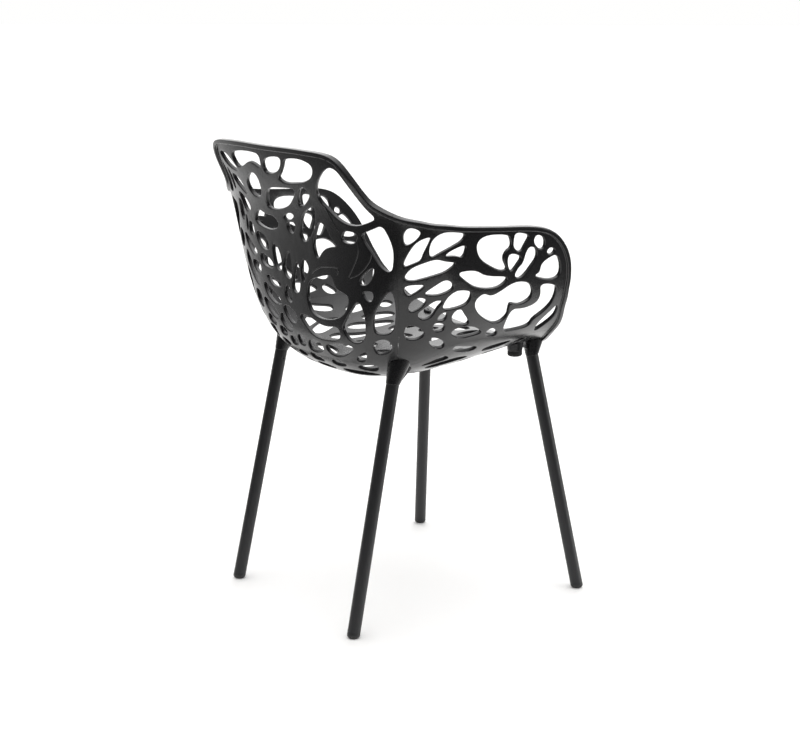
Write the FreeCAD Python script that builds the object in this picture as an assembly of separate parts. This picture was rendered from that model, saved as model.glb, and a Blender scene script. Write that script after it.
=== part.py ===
# Openwork bucket armchair on four tube legs.
# Millimetres, Z up. The sitter faces -Y and X = 0 is the plane between left and right.

import FreeCAD, Part
import math
import os

Vector = FreeCAD.Vector
Flat = FreeCAD.Base.Vector2d

# Thickness of the castings and shape of their rim
SHELL_T = 7.0
BEAD_H = 4.0
BEAD_W = 7.5
SEAM_GAP = 0.3

# Centre line of the outer face as (y, z), from the front lip to above the back
CENTRE_LINE = [
    (-262, 420), (-225, 429), (-150, 424), (-60, 410), (30, 400), (105, 405),
    (150, 434), (176, 497), (185, 578), (201, 690), (250, 800), (250, 822),
]

# Edge of the full bowl that the rim is trimmed from, as (x, y, z) on the sitter's left
BOWL_EDGE = [
    (330, -195, 715), (326, -90, 732), (316, 0, 750), (312, 90, 768), (292, 176, 812), (288, 191, 830),
]

# Each section across the bowl is a superellipse: its power and its outward lean, front and back
POWER_FRONT = 3.4
POWER_BACK = 2.1
LEAN_FRONT = 0.23
LEAN_BACK = 0.10

# Poles of the bowl surface across and along
POLES_ACROSS = 41
POLES_ALONG = 25

# The rim as (x, y, z), from the middle of the front lip to the middle of the back
RIM = [
    (0, -250, 425), (60, -248, 427), (120, -241, 433), (166, -230, 447), (205, -210, 471), (232, -202, 494),
    (248, -193, 512), (260, -185, 529), (271, -180, 546), (279, -175, 561), (286, -171, 577),
    (292, -166, 592), (298, -160, 607), (303, -152, 622), (309, -135, 644), (314, -107, 666),
    (313, -59, 678), (308, -12, 681), (304, 34, 684), (299, 80, 688), (294, 101, 691), (287, 121, 693),
    (276, 138, 697), (262, 152, 700), (246, 164, 705), (229, 175, 713), (213, 187, 724), (203, 202, 744),
    (194, 219, 769), (179, 232, 790), (155, 239, 798), (128, 243, 800), (99, 246, 801), (0, 250, 801),
]

# Places on the bowl are (across, along) in percent: 0 across is the middle and 100 the bowl's
# edge, 0 along is the front and 100 the top. Seams run from the rear leg head to the rim.
ARM_BACK_SEAM = [
    (35.5, 47.7), (42.3, 51.8), (47.4, 55.8), (51.2, 59.8), (54.1, 62.8), (57.3, 66.4), (62.4, 70.5),
    (66.5, 75.1),
]
ARM_BACK_END = (71.1, 79.6)
ARM_SEAT_SEAM = [
    (36.3, 41.7), (41.3, 39.6), (45.9, 37.4), (47.5, 32.3), (47.6, 25.5), (46.2, 19.6), (44.8, 14.8),
]
ARM_SEAT_END = (42.9, 7.9)
SEAT_BACK_SEAM = [(24, 43.2), (12, 42), (0, 41.7), (-12, 42), (-24, 43.2)]

# Openings of an arm, on the sitter's left, each the poles of a smooth closed outline
ARM_OPENINGS = [
    # leaves fanning from the plain band beside the back
    [(72.4, 73.7), (74.7, 69.7), (70.8, 68.9), (64.8, 70), (67.5, 73.1)],
    [(75.9, 65.9), (71.8, 64.8), (68.8, 64.2), (66.3, 63.2), (63.7, 64.3), (58.9, 65.8), (64.5, 67.8),
     (70.7, 68.6)],
    [(79, 63.3), (81, 59.7), (82.5, 54.9), (80.4, 54.2), (77, 56.7), (73, 59.4), (69.5, 61), (71, 63.3),
     (75, 64.9)],
    [(79.9, 52.1), (75.3, 50.8), (75, 53.8), (72.6, 57.6), (76.1, 56.1)],
    [(56.9, 63.2), (61.9, 63.9), (67.1, 61.7), (70.6, 59.2), (71.6, 56.1), (73.4, 51.9), (69.4, 53.5),
     (66.9, 55.6), (63.3, 58.3), (58.6, 61.1)],
    [(55.1, 61.2), (58, 60.2), (62.1, 56.6), (58.2, 57.3), (54.1, 58.4)],
    [(58.9, 55.4), (62.1, 54.6), (67, 52.6), (67.3, 49.9), (65.6, 48.4), (62.6, 50.5), (60.7, 52.6)],
    [(65.9, 46.6), (66.5, 42.4), (62.7, 41.6), (60.7, 43.3), (57.8, 47.9), (61.3, 48.6), (63.9, 48.1)],
    [(58.7, 53.3), (54.6, 53.2), (51, 54.8), (53, 56.7), (57, 56.1)],
    [(61, 48.9), (58, 49.5), (54.8, 49), (51.9, 50.6), (52.4, 53.1), (56.9, 52.1), (59.9, 51.1)],
    [(60.1, 42.6), (58.3, 40.7), (55.8, 37.8), (54.3, 38.3), (54.6, 42.1), (56.6, 44.1), (59.2, 44.1)],
    [(58.2, 46), (55.2, 45), (53.9, 47.2), (56.7, 47.6)],
    [(53.2, 47.6), (54.1, 44.6), (51.5, 43.4), (50.1, 46)],
    [(48.5, 45.1), (47.9, 41.5), (44.7, 39.4), (43.8, 41.6), (46, 45.1)],
    [(47.4, 53.1), (49.7, 50.1), (48.5, 47), (44.9, 48), (43, 50.7)],
    [(51, 41.6), (53.5, 40.1), (54, 37), (53.4, 34.5), (51, 31.3), (49.9, 33.7), (48.9, 37.2)],
    [(52.9, 28.7), (51.4, 30.6), (48.1, 28.6), (48.7, 25.3)],
    # cup of the rose
    [(82.5, 48.5), (84.5, 45.4), (85.4, 38.5), (83.6, 36.6), (81.6, 35.6), (80.1, 37.1), (77.5, 37.1),
     (74.3, 33.7), (73.9, 36.2), (75.2, 40.6), (76.9, 45.5), (80, 48.5)],
    # long leaf below the cup
    [(70.5, 50.1), (72.4, 47), (72.9, 44), (71.7, 40.5), (72.2, 32.2), (69.2, 33.2), (67.7, 36.1),
     (67.8, 42.1), (69.2, 46.1)],
    # petals of the rose
    [(86.4, 36), (86, 29.7), (83, 30.7), (80, 31.2), (81.4, 34.6), (83.9, 35.6)],
    [(79.8, 35.6), (79, 30.1), (75.9, 31.1), (73.3, 32.1), (76.3, 34.8)],
    [(82.3, 28.5), (81.8, 25.8), (78.8, 24.3), (75.3, 25.8), (72.8, 26.8), (71.3, 28.2), (72.2, 30.5),
     (74.8, 30.3), (76.8, 28.9), (80.3, 29.3)],
    [(86.4, 27.3), (85.3, 23.4), (81.8, 22.4), (81.3, 24.3), (83.8, 27.8)],
    [(82.3, 20.4), (81.4, 17.7), (79.4, 18.7), (80.3, 21.4)],
    [(79.8, 17), (76.3, 14.3), (71.2, 13.3), (70.2, 16.7), (72.2, 23.7), (73.3, 21.4), (76.3, 22),
     (78.3, 20)],
    # two large leaves that curl under the rose
    [(70.2, 29.8), (70.3, 24.9), (67.5, 22), (63.9, 21), (61.3, 24), (62.8, 27.8), (60.3, 27.4),
     (57.1, 26.4), (54.1, 28.3), (56.1, 32.7), (59.6, 37.6), (63.1, 40.1), (66.2, 38.6), (65.1, 35.6),
     (66.7, 33.2)],
    [(69.3, 20), (68.2, 13.6), (64.3, 12.7), (60.3, 12.7), (56.7, 14.2), (53.6, 16.6), (50.1, 16.2),
     (49.5, 20.6), (50, 24.5), (54, 25.8), (60.2, 26.3), (59.6, 22.4), (61.2, 18.5), (64.8, 18)],
    [(59.9, 10.3), (53.7, 9.1), (49.1, 10.5), (44.6, 12.5), (50.9, 14), (55.5, 12.2)],
]

# Openings of the back, over its whole width
BACK_OPENINGS = [
    # teardrop in the corner and the crescent next to the arm, sitter's right
    [(-49.1, 93.6), (-55, 93.2), (-56.7, 90.5), (-57.5, 86.8), (-58.6, 82.7), (-61.2, 79.9), (-55, 79.6),
     (-47, 79.6), (-40.3, 80.9), (-35.3, 83.2), (-30.5, 87), (-37, 90.3)],
    [(-61.8, 78), (-61.7, 75), (-60.6, 71.8), (-58.4, 69.3), (-54.2, 66.1), (-51, 69.2), (-49.9, 73.3),
     (-47.5, 77.7), (-55.7, 77.9)],
    # row under the top rail
    [(-17, 95), (-26.4, 95.4), (-34.3, 95), (-39.5, 93.8), (-35, 91.3), (-26.2, 90), (-18.6, 89.7),
     (-9.4, 89.4), (-4.6, 90.3), (-8.9, 91.5), (-13.5, 93.1)],
    [(4.1, 94.2), (-5.9, 95.3), (-14.7, 95.3), (-11.9, 93.4), (-6.4, 91.9), (1.6, 91.1), (5.9, 91.5)],
    [(11.2, 87.7), (-5, 88.3), (-17, 88.4), (-9.7, 85.9), (-2.1, 83.8), (11.5, 82.3), (19.5, 82.7)],
    # leaves and petals, sitter's right
    [(-22.4, 89.3), (-26.7, 87.9), (-24.3, 86.4), (-12.7, 83.7), (-13.2, 86)],
    [(6.5, 81.1), (-1.1, 82.6), (-5.5, 82), (1.7, 80.4)],
    [(5.3, 80), (-5, 80.7), (0.9, 77.1)],
    [(-25.9, 84.9), (-21.4, 81.6), (-17.5, 79.1), (-8.3, 76.1), (-5.5, 78.1), (-9.3, 81.2), (-15.6, 83.4)],
    [(-24.2, 81.6), (-28.5, 79.6), (-28.2, 77.9), (-32.4, 76), (-25, 76), (-20.3, 75.1), (-15.7, 73),
     (-14.4, 76.4), (-18, 78.9)],
    [(-39.2, 79.4), (-47.6, 77.9), (-42.6, 75.8), (-34.5, 77)],
    [(4.6, 74.7), (3, 71.1), (4.2, 67.9), (9.2, 68.7), (10.3, 71.8)],
    [(-1, 72.8), (-2.8, 69.7), (-1.2, 65.5), (4, 65.8), (2.5, 70)],
    [(-5.3, 73.5), (-9.8, 71.7), (-7, 69.8), (-4.5, 67.8), (-3.3, 71)],
    [(-8.2, 69), (-17.1, 70.1), (-23.8, 70.4), (-24.5, 67.5), (-28.3, 66.5), (-31.2, 65.3), (-27.6, 62.5),
     (-22.5, 61.2), (-13.4, 61), (-7.4, 62.1), (-5.6, 65.3)],
    [(-35.3, 64.4), (-35.6, 60.9), (-33.6, 57.9), (-31, 55.4), (-26.3, 55.1), (-23.9, 56.8), (-22.9, 59.1),
     (-24.9, 60.3), (-29.8, 62.3)],
    [(-50.5, 62.8), (-49.8, 60), (-46.9, 56.7), (-41.9, 53.3), (-36.3, 55.5), (-36.6, 57.2), (-39, 59.6),
     (-42.4, 61), (-46.3, 62)],
    [(-37.3, 65.9), (-44, 64.7), (-40.1, 62.1)],
    [(-49.5, 70.1), (-43.6, 66.6), (-37.7, 67.1), (-40.7, 69.1)],
    [(1.2, 61.4), (-5.6, 61.3), (-10.6, 60), (-15.1, 59.5), (-21.4, 59.6), (-20.3, 56.6), (-12.7, 56.5),
     (-6.3, 56.8), (-2, 58.9)],
    [(-9.9, 55.4), (-17.5, 56), (-22.3, 55.5), (-25, 54.1), (-15.3, 52.2), (-11, 53.1)],
    [(-32.9, 54.5), (-39.2, 53.3), (-37.4, 49.6), (-30.7, 50.7)],
    [(-20.8, 51.4), (-29.2, 53.4), (-25.1, 49.9)],
    [(-18.1, 49.5), (-25.4, 49.5), (-27.3, 47.3), (-22.9, 45.9)],
    [(-10.2, 48.7), (-17.4, 47.9), (-21.3, 46.1), (-22.5, 43.5), (-15.7, 44.6), (-10.1, 46.3)],
    # pebbles along the lower edge
    [(-8.8, 51.5), (-14.7, 51.4), (-15.2, 49.3), (-8.3, 49.5)],
    [(3.2, 48.9), (-2.8, 49.1), (-7.4, 48), (-3, 46.5), (3, 46.8)],
    [(2.5, 52.4), (-3.4, 51.5), (-4.4, 49.8), (2.7, 49.7)],
    [(-1.7, 56.1), (-8, 56), (-9.1, 53.8), (-2.4, 52.4), (0.9, 53.4)],
    [(5.6, 56.3), (0.9, 56.4), (0.7, 54), (5.4, 53.3)],
    [(11.1, 55.2), (6.1, 55.4), (6.4, 53.3), (11, 52.4)],
    [(9.9, 51.6), (5.1, 51.7), (5.5, 49.9), (10.5, 49.7)],
    [(5.6, 48.7), (10, 48.6), (10, 46.4), (5.5, 46.6)],
    [(12.7, 50.5), (18.5, 50.2), (18.5, 47.6), (12.5, 47.8)],
    [(21.5, 49.6), (27, 49.8), (28, 48), (22, 47.1)],
    [(13, 45.4), (21, 45.4), (24, 44.9), (17, 44.2), (12, 44)],
    [(16.9, 56.7), (11.7, 56.6), (12, 54.6), (16.8, 54.1)],
    [(18.1, 53.4), (12.6, 53), (14, 51.1), (18.4, 51.3)],
    [(20.2, 55.4), (26.3, 54.5), (27, 51.7), (21, 51.3)],
    [(29.4, 55.8), (34, 55.7), (33.5, 51.8), (29.8, 52.6)],
    [(36, 54.2), (42, 56.5), (40.5, 52.8), (36, 50.8)],
    # row under the top rail and the corner, sitter's left
    [(38.7, 94.4), (24, 95.5), (10, 95.6), (5.5, 95), (8.1, 91.9), (14.2, 93.1), (19.7, 93.3), (27.3, 91.8),
     (35.4, 90.7)],
    [(20.8, 91), (15.2, 90), (19.3, 85.1), (28.9, 83.9), (33.6, 87.2)],
    [(55.1, 93.6), (45.4, 93.9), (38.3, 91.9), (35.1, 89.6), (47.9, 89.9)],
    [(46.4, 88.7), (39, 87.7), (35.7, 83.6), (42.6, 84.6), (48.6, 86.6)],
    [(56.3, 91), (58.8, 87.5), (60.8, 83.5), (62.5, 80.5), (57.5, 81), (54.5, 84.5), (53.5, 88.5)],
    [(51.5, 90.4), (48.6, 87.9), (50.3, 83.2), (53.3, 83.7)],
    # rose and leaves, sitter's left
    [(48.4, 83.8), (40.3, 82.6), (36.3, 80.4), (41.8, 78.5), (46.3, 80.5)],
    [(29.4, 81.4), (21.4, 80.6), (15, 81), (9.9, 79.3), (15.9, 77.6), (26.4, 77.2), (35.1, 77.8)],
    [(34.1, 75.6), (26.1, 76), (20, 73.4), (25.2, 72.1), (31.6, 73.1)],
    [(41.1, 76.9), (36.6, 76.8), (34.5, 74), (39.9, 73.6)],
    [(42.2, 77.5), (44.4, 77.9), (43.4, 74.2), (41.3, 73.9)],
    [(51.4, 81.4), (45.8, 80.4), (45, 75.3), (50.9, 75.9)],
    [(64.1, 78.3), (63.4, 75.3), (61.5, 72.5), (59, 70), (55.5, 67.5), (53.6, 69.9), (53.8, 78.4),
     (58.2, 78.4)],
    [(46.6, 72.8), (41, 72.4), (30.8, 70.7), (35.1, 69.1), (43.1, 70.1)],
    [(19.2, 75), (12.6, 74), (10.1, 69.3), (16, 69.3)],
    [(29.7, 71.5), (18.5, 70.9), (17.2, 69), (27.7, 68.6)],
    [(36.8, 68.2), (28.6, 68.6), (27.9, 66.1), (34.8, 66)],
    [(43.9, 69.1), (38, 67), (27.9, 63), (34.4, 62.8), (43.7, 65.5)],
    [(53.7, 72.1), (46.8, 71.7), (45.8, 67.9), (51.2, 66.6)],
    [(24.9, 67.2), (14.7, 67.1), (10.3, 66.1), (18, 65.1)],
    [(26.3, 65.4), (17.8, 64.4), (10.9, 62.5), (16, 61.2), (24.3, 62.5)],
    [(7.7, 67.3), (3.4, 64.8), (5.9, 62.6), (9.8, 64.5)],
    [(27, 61.3), (21.3, 61.3), (14.2, 59), (17.7, 57.4), (25, 59.1)],
    [(13.7, 60.3), (10.3, 59.7), (5.6, 57.1), (10, 56), (14.8, 58)],
    [(11.7, 62.1), (5.9, 62.3), (1.8, 60.2), (5.5, 58.1), (10, 59.9)],
    [(24.2, 58.1), (18.8, 57.2), (18.6, 55.6), (25.3, 55.5)],
    [(35.1, 61), (28.7, 61.6), (26.9, 57.6), (33.8, 57.2)],
    [(45.2, 63.8), (38.4, 62.5), (36.5, 56.8), (42, 58.3)],
    [(51, 64.6), (48, 63), (44.5, 57), (49, 60)],
]

# Openings of the seat, on the sitter's left and repeated on the right
SEAT_OPENINGS = [
    # slots along the side
    [(45.5, 37), (44.5, 33.5), (43.5, 28.5), (40.5, 29.5), (42.5, 36)],
    [(40.5, 37.2), (37.8, 38.5), (33.5, 40.5), (35, 38), (38, 34)],
    [(38, 31.5), (35.5, 36), (32, 38.5), (30.5, 36), (33, 32), (36, 27)],
    [(41.5, 25.8), (42.5, 22), (42.5, 18), (40.2, 18.2), (38.5, 22), (38.5, 25.5)],
    [(41.2, 15.5), (40.8, 13), (38.8, 12), (37.3, 14.5), (38.6, 16.3)],
    [(35.5, 23.5), (36, 19), (34.5, 14.5), (32, 14.2), (32, 17.5), (33, 22)],
    [(31, 29.3), (33.5, 26.5), (31.5, 21.5), (29.5, 16.5), (27.3, 16.5), (27.5, 22)],
    [(28, 35.5), (29.8, 32), (27, 27.5), (25.8, 23), (24, 24.5), (24.3, 30)],
    # leaves and petals round the middle
    [(25.5, 18.3), (25.3, 14.5), (22.5, 12), (19.5, 13), (21, 16.5), (23.5, 20.5)],
    [(22.3, 24), (20.5, 20), (17, 17.8), (12.5, 17.5), (15.5, 21), (18.5, 24.3)],
    [(22.3, 33.5), (22, 28), (18.5, 26.3), (14, 26.7), (15.5, 30), (19, 33)],
    [(26, 39.3), (22, 39.5), (15.5, 38), (18, 35.7), (23.5, 36)],
    [(12.5, 39.5), (6, 39.3), (7.5, 36.3), (12.7, 36)],
    [(12, 33.8), (11.5, 29), (8, 26.5), (4.5, 28), (3.5, 31.5), (7, 34)],
    [(12, 25), (14.7, 23), (11.5, 20.3), (7.5, 19.7), (4, 21.6), (7, 24.5)],
    [(4, 18.8), (8.5, 17.5), (11.5, 14), (8.5, 11.8), (4, 12.8), (2.2, 15.5)],
    [(14, 15.5), (17.5, 14.5), (16.5, 11.5), (12.5, 10.5), (12.8, 12.5)],
    [(17.5, 10.5), (21.5, 10), (21.5, 6.5), (17.5, 6), (14.5, 8)],
    [(9.5, 9.7), (12, 8), (13, 5.5), (8, 5), (3.8, 6), (4.5, 9.3)],
]
SEAT_MIDDLE_OPENINGS = [
    [(-3.5, 25.7), (0, 27.3), (3.5, 25.7), (0, 22.7)],
    [(-2, 10.5), (0, 12.3), (2, 10.5), (1.3, 5.5), (-1.3, 5.5)],
    [(-4, 36.5), (0, 39.7), (4, 36.5), (0, 33.7)],
]

# Legs, sitter's left: where each centre line meets the floor and where it passes LEG_REF_Z, then
# the head's length, its width at the bowl and how far forward it leans for each millimetre
FLOOR_Z = -6.0
LEG_REF_Z = 400.0
REAR_LEG = {"foot": (179.5, 200.5), "top": (167, 111.5), "head": 32.0, "wide": 36.0, "lean": 0.18}
FRONT_LEG = {"foot": (231, -262), "top": (154.5, -214.5), "head": 26.0, "wide": 38.0, "lean": 0.35}
TUBE_D = 22.0
TUBE_WALL = 2.0

# Leg heads: flared collars that carry the castings, each with a spigot inside its tube
HEAD_LOW_D = 23.0
HEAD_SEAT_GAP = 0.2
SPIGOT_L = 30.0
SPIGOT_FIT = 0.15
SHOULDER_GAP = 0.1
PAD_REACH = 12.0
PAD_DROP = 140.0
BEAD_ROOM_STOPS = 12
BEAD_ROOM_OUT = 12.0

# Rib that runs forward from each rear head under the seat
RIB_T = 5.0
RIB_REACH = 44.0
RIB_DEPTH = 36.0

# Bumper boss behind each front head, and the web that joins it to the head
BOSS_SETBACK = 34.0
BOSS_TOP_D = 29.0
BOSS_D = 26.0
BOSS_LENGTH = 13.0
WEB_T = 9.0
WEB_DEPTH = 18.0
BUMPER_H = 9.0
BUMPER_EDGE = 4.0
BUMPER_STEM_D = 8.0
BUMPER_STEM_L = 7.0
BUMPER_FIT = 0.1
BUMPER_SEAT_GAP = 0.1

# Screw through the castings into each leg head
SCREW_D = 8.0
SCREW_HEAD_D = 15.0
SCREW_HEAD_H = 4.0
SCREW_HEAD_EDGE = 1.5
SCREW_SEAT = 0.6
SCREW_DEPTH = 8.0
SCREW_TIP_GAP = 1.0
SCREW_FIT = 0.15
SCREW_HOLE_D = 9.2
KEY_ACROSS = 5.0
KEY_DEPTH = 2.4

# Set screw through the wall of each tube into the spigot
SET_SCREW_D = 6.0
SET_SCREW_L = 7.0
SET_SCREW_FIT = 0.1
SET_SCREW_DOWN = 14.0
SET_SCREW_SUNK = 0.5
SET_KEY_ACROSS = 3.0
SET_KEY_DEPTH = 2.0

# Foot glides
GLIDE_H = 8.0
GLIDE_EDGE = 5.0
GLIDE_STEM_L = 20.0
GLIDE_STEM_FIT = 0.15
GLIDE_SEAT_GAP = 0.1

# Spacing of the rim line, tolerance of sewn faces, and height of the webs before the bowl cuts them
RIM_STEP = 6.0
SEW_TOLERANCE = 0.01
HIGH = 60.0


# Bowl surface

def on_spline(points, fractions, parts=400):
    """Points at the given fractions of the way along a smooth curve."""
    curve = Part.BSplineCurve()
    curve.interpolate(Points=[Vector(*p) for p in points])
    spots = curve.discretize(Number=parts + 1)
    found = []
    for fraction in fractions:
        place = min(max(fraction, 0.0), 1.0) * parts
        i = min(int(place), parts - 1)
        found.append(spots[i] + (spots[i + 1] - spots[i]) * (place - i))
    return found


def pole_places(count, low, high):
    """Where the poles of an even cubic spline sit, and its knots."""
    spans = count - 3
    knots = [low + (high - low) * i / spans for i in range(spans + 1)]
    padded = [low] * 3 + knots + [high] * 3
    places = [sum(padded[i + 1:i + 4]) / 3.0 for i in range(count)]
    return places, knots


def across_section(centre, edge, power, lean, fractions, steps=240):
    """Points across one half section at the given fractions of its length."""
    root = 2.0 / power
    points = []
    for i in range(steps + 1):
        turn = math.pi / 2 * i / steps
        out = math.sin(turn) ** root
        up = 1.0 - max(math.cos(turn), 0.0) ** root
        x = edge.x * ((1 - lean) * out + lean * up)
        points.append(Vector(x, centre.y + (edge.y - centre.y) * up, centre.z + (edge.z - centre.z) * up))
    length = [0.0]
    for i in range(steps):
        length.append(length[-1] + (points[i + 1] - points[i]).Length)
    found = []
    for fraction in fractions:
        wanted = fraction * length[-1]
        i = 0
        while i < steps - 1 and length[i + 1] < wanted:
            i += 1
        part = (wanted - length[i]) / (length[i + 1] - length[i])
        found.append(points[i] + (points[i + 1] - points[i]) * part)
    return found


def bowl_points(across, along):
    """Points of the outer face: one row for each place along, one point for each place across."""
    centres = on_spline([(0, y, z) for y, z in CENTRE_LINE], along)
    edges = on_spline(BOWL_EDGE, along)
    rows = []
    for v, centre, edge in zip(along, centres, edges):
        power = POWER_FRONT + (POWER_BACK - POWER_FRONT) * v
        lean = LEAN_FRONT + (LEAN_BACK - LEAN_FRONT) * v
        half = across_section(centre, edge, power, lean, [abs(u) for u in across])
        rows.append([Vector(math.copysign(p.x, u), p.y, p.z) for u, p in zip(across, half)])
    return rows


def bowl_surfaces(offsets, step=0.001):
    """The bowl as smooth surfaces, each moved along its normal; plus is towards the sitter."""
    across, knots_across = pole_places(POLES_ACROSS, -1.0, 1.0)
    along, knots_along = pole_places(POLES_ALONG, 0.0, 1.0)
    base = bowl_points(across, along)
    right = bowl_points([min(u + step, 1.0) for u in across], along)
    left = bowl_points([max(u - step, -1.0) for u in across], along)
    above = bowl_points(across, [min(v + step, 1.0) for v in along])
    below = bowl_points(across, [max(v - step, 0.0) for v in along])
    surfaces = []
    for offset in offsets:
        poles = []
        for i in range(POLES_ACROSS):
            column = []
            for j in range(POLES_ALONG):
                normal = (right[j][i] - left[j][i]).cross(above[j][i] - below[j][i])
                normal.normalize()
                column.append(base[j][i] + normal * offset)
            poles.append(column)
        surface = Part.BSplineSurface()
        surface.buildFromPolesMultsKnots(
            poles, [4] + [1] * (POLES_ACROSS - 4) + [4], [4] + [1] * (POLES_ALONG - 4) + [4],
            knots_across, knots_along, False, False, 3, 3)
        surfaces.append(surface)
    return surfaces


INNER, OUTER, BEAD, HEAD_SEAT, BEAD_CLEAR = bowl_surfaces(
    [SHELL_T, 0.0, -BEAD_H, -HEAD_SEAT_GAP, -BEAD_H - HEAD_SEAT_GAP])


# Places and lines on the bowl, as (across, along) fractions

def fractions_of(percents):
    """Places in percent as places in fractions."""
    return [(u / 100.0, v / 100.0) for u, v in percents]


def mirrored(places):
    """The same places on the other side of the chair."""
    return [(-u, v) for u, v in places]


def point(place):
    """The point of the outer face at a place."""
    return OUTER.value(place[0], place[1])


def normal(place):
    """Direction out of the bowl's floor towards the sitter."""
    down = OUTER.normal(place[0], place[1])
    return down if down.dot(INNER.value(place[0], place[1]) - point(place)) > 0 else down * -1.0


def nearest(spot):
    """The place on the outer face nearest to a point."""
    return OUTER.parameter(spot)


def beside(line, distance):
    """A line moved sideways on the outer face, to the left of its run as the sitter sees it."""
    moved = []
    last = len(line) - 1
    for i, place in enumerate(line):
        run = point(line[min(i + 1, last)]) - point(line[max(i - 1, 0)])
        side = normal(place).cross(run)
        side.normalize()
        moved.append(nearest(point(place) + side * distance))
    return moved


def smooth(places):
    """A smooth curve through places, its parameter following the distance."""
    stops = [0.0]
    for a, b in zip(places, places[1:]):
        stops.append(stops[-1] + (point(b) - point(a)).Length)
    curve = Part.Geom2d.BSplineCurve2d()
    curve.interpolate(Points=[Flat(*p) for p in places], Parameters=stops)
    return curve


def straight(a, b):
    """A straight line between two places."""
    return Part.Geom2d.Line2dSegment(Flat(*a), Flat(*b))


def closed(poles):
    """A smooth closed outline that touches the middle of each side of its polygon."""
    count = len(poles)
    turn = sum(poles[i - 1][0] * poles[i][1] - poles[i][0] * poles[i - 1][1] for i in range(count))
    if turn < 0:
        poles = poles[::-1]
    curve = Part.Geom2d.BSplineCurve2d()
    curve.buildFromPolesMultsKnots(
        [Flat(*p) for p in poles], [1] * (count + 1), [float(i) for i in range(count + 1)], True, 2)
    return curve


def ring(place, diameter, sides=12):
    """A closed outline that is round on the bowl."""
    out = Vector(1, 0, 0)
    first = normal(place).cross(out)
    first.normalize()
    second = normal(place).cross(first)
    radius = diameter / 2.0 / math.cos(math.pi / sides)
    poles = []
    for i in range(sides):
        turn = 2 * math.pi * i / sides
        spoke = first * radius * math.cos(turn) + second * radius * math.sin(turn)
        poles.append(nearest(point(place) + spoke))
    return closed(poles)


# Rim

def rim_line():
    """The whole rim as closely spaced places, from the front lip round the sitter's left and back."""
    left = [nearest(Vector(*p)) for p in RIM]
    right = mirrored(left[1:-1])
    right.reverse()
    whole = left + right + [left[0]]
    curve = smooth(whole)
    count = int((curve.LastParameter - curve.FirstParameter) / RIM_STEP)
    span = (curve.LastParameter - curve.FirstParameter) / count
    places = [curve.value(curve.FirstParameter + span * i) for i in range(count)]
    return [(p.x, p.y) for p in places]


RIM_LINE = rim_line()


def rim_stop(place):
    """Distance along the rim line, counted in its places, of the spot nearest to a place."""
    target = point(place)
    gaps = [(point(p) - target).Length for p in RIM_LINE]
    return gaps.index(min(gaps))


def rim_span(start, stop):
    """Rim places from one stop to another, with the seam clearance left off at both ends."""
    count = len(RIM_LINE)
    if stop < start:
        stop += count
    places = [RIM_LINE[i % count] for i in range(start, stop + 1)]
    first = point(places[1]) - point(places[0])
    last = point(places[-2]) - point(places[-1])
    first.normalize()
    last.normalize()
    places[0] = nearest(point(places[0]) + first * SEAM_GAP / 2)
    places[-1] = nearest(point(places[-1]) + last * SEAM_GAP / 2)
    return places


# Castings

def face_on(surface, border, holes):
    """A trimmed face from its outer border curves and its hole curves."""
    face = Part.Face(surface, Part.Wire([c.toShape(surface) for c in border]))
    if holes:
        face.cutHoles([Part.Wire([c.toShape(surface)]).reversed() for c in holes])
    face.validate()
    return face


def walls_between(low, high, curves):
    """The walls that join one surface to another along curves."""
    return [Part.makeRuledSurface(c.toShape(low), c.toShape(high)) for c in curves]


def casting(rim, seams, openings):
    """One casting: its rim places, a function for the seam curves back to the rim's start, its openings."""
    bead_line = beside(rim, BEAD_W)
    rim_curve = smooth(rim)
    bead_curve = smooth(bead_line)
    to_bead = straight(rim[-1], bead_line[-1])
    to_rim = straight(bead_line[0], rim[0])
    seam_curves = seams(bead_line[-1], bead_line[0])
    border = [rim_curve, to_bead] + seam_curves + [to_rim]
    strip = [rim_curve, to_bead, bead_curve, to_rim]
    faces = [
        face_on(INNER, border, openings),
        face_on(OUTER, [bead_curve] + seam_curves, openings),
        face_on(BEAD, strip, []),
    ]
    faces += walls_between(INNER, OUTER, border + openings)
    faces += walls_between(OUTER, BEAD, strip)
    return sewn_solid(faces)


def sewn_solid(faces):
    """One solid from the faces that close it."""
    sewn = Part.makeCompound(faces)
    sewn.sewShape(SEW_TOLERANCE)
    solid = Part.makeSolid(sewn.Shells[0])
    if solid.Volume < 0:
        solid.reverse()
    return solid


def hub_corner(hub, before, after, parts=6):
    """The rounded corner of a casting round the screw hole at a hub, between two seam ends."""
    axis = normal(hub)
    first = point(before) - point(hub)
    first = first - axis * first.dot(axis)
    second = axis.cross(first)
    second = second * (first.Length / second.Length)
    way = point(after) - point(hub)
    sweep = -math.atan2(way.dot(second), way.dot(first)) % (2 * math.pi)
    places = [before]
    for i in range(1, parts):
        turn = sweep * i / parts
        places.append(nearest(point(hub) + first * math.cos(turn) - second * math.sin(turn)))
    return smooth(places + [after])


def seam_from(hub, percents):
    """A seam line from the edge of the screw hole at a hub through places in percent."""
    places = fractions_of(percents)
    first = point(places[0]) - point(hub)
    first.normalize()
    return [nearest(point(hub) + first * SCREW_HOLE_D / 2.0)] + places


def inset(line):
    """A seam line set in by half the clearance, the casting being on the left of its run."""
    return beside(line, SEAM_GAP / 2.0)


def backward(line):
    """A line run the other way."""
    return line[::-1]


def outlines(groups):
    """Outlines in percent as closed curves."""
    return [closed(fractions_of(poles)) for poles in groups]


# Leg axes

def leg_line(leg):
    """The foot of a leg's centre line on the floor and its direction up."""
    foot = Vector(leg["foot"][0], leg["foot"][1], FLOOR_Z)
    top = Vector(leg["top"][0], leg["top"][1], LEG_REF_Z)
    way = top - foot
    way.normalize()
    return foot, way


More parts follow.
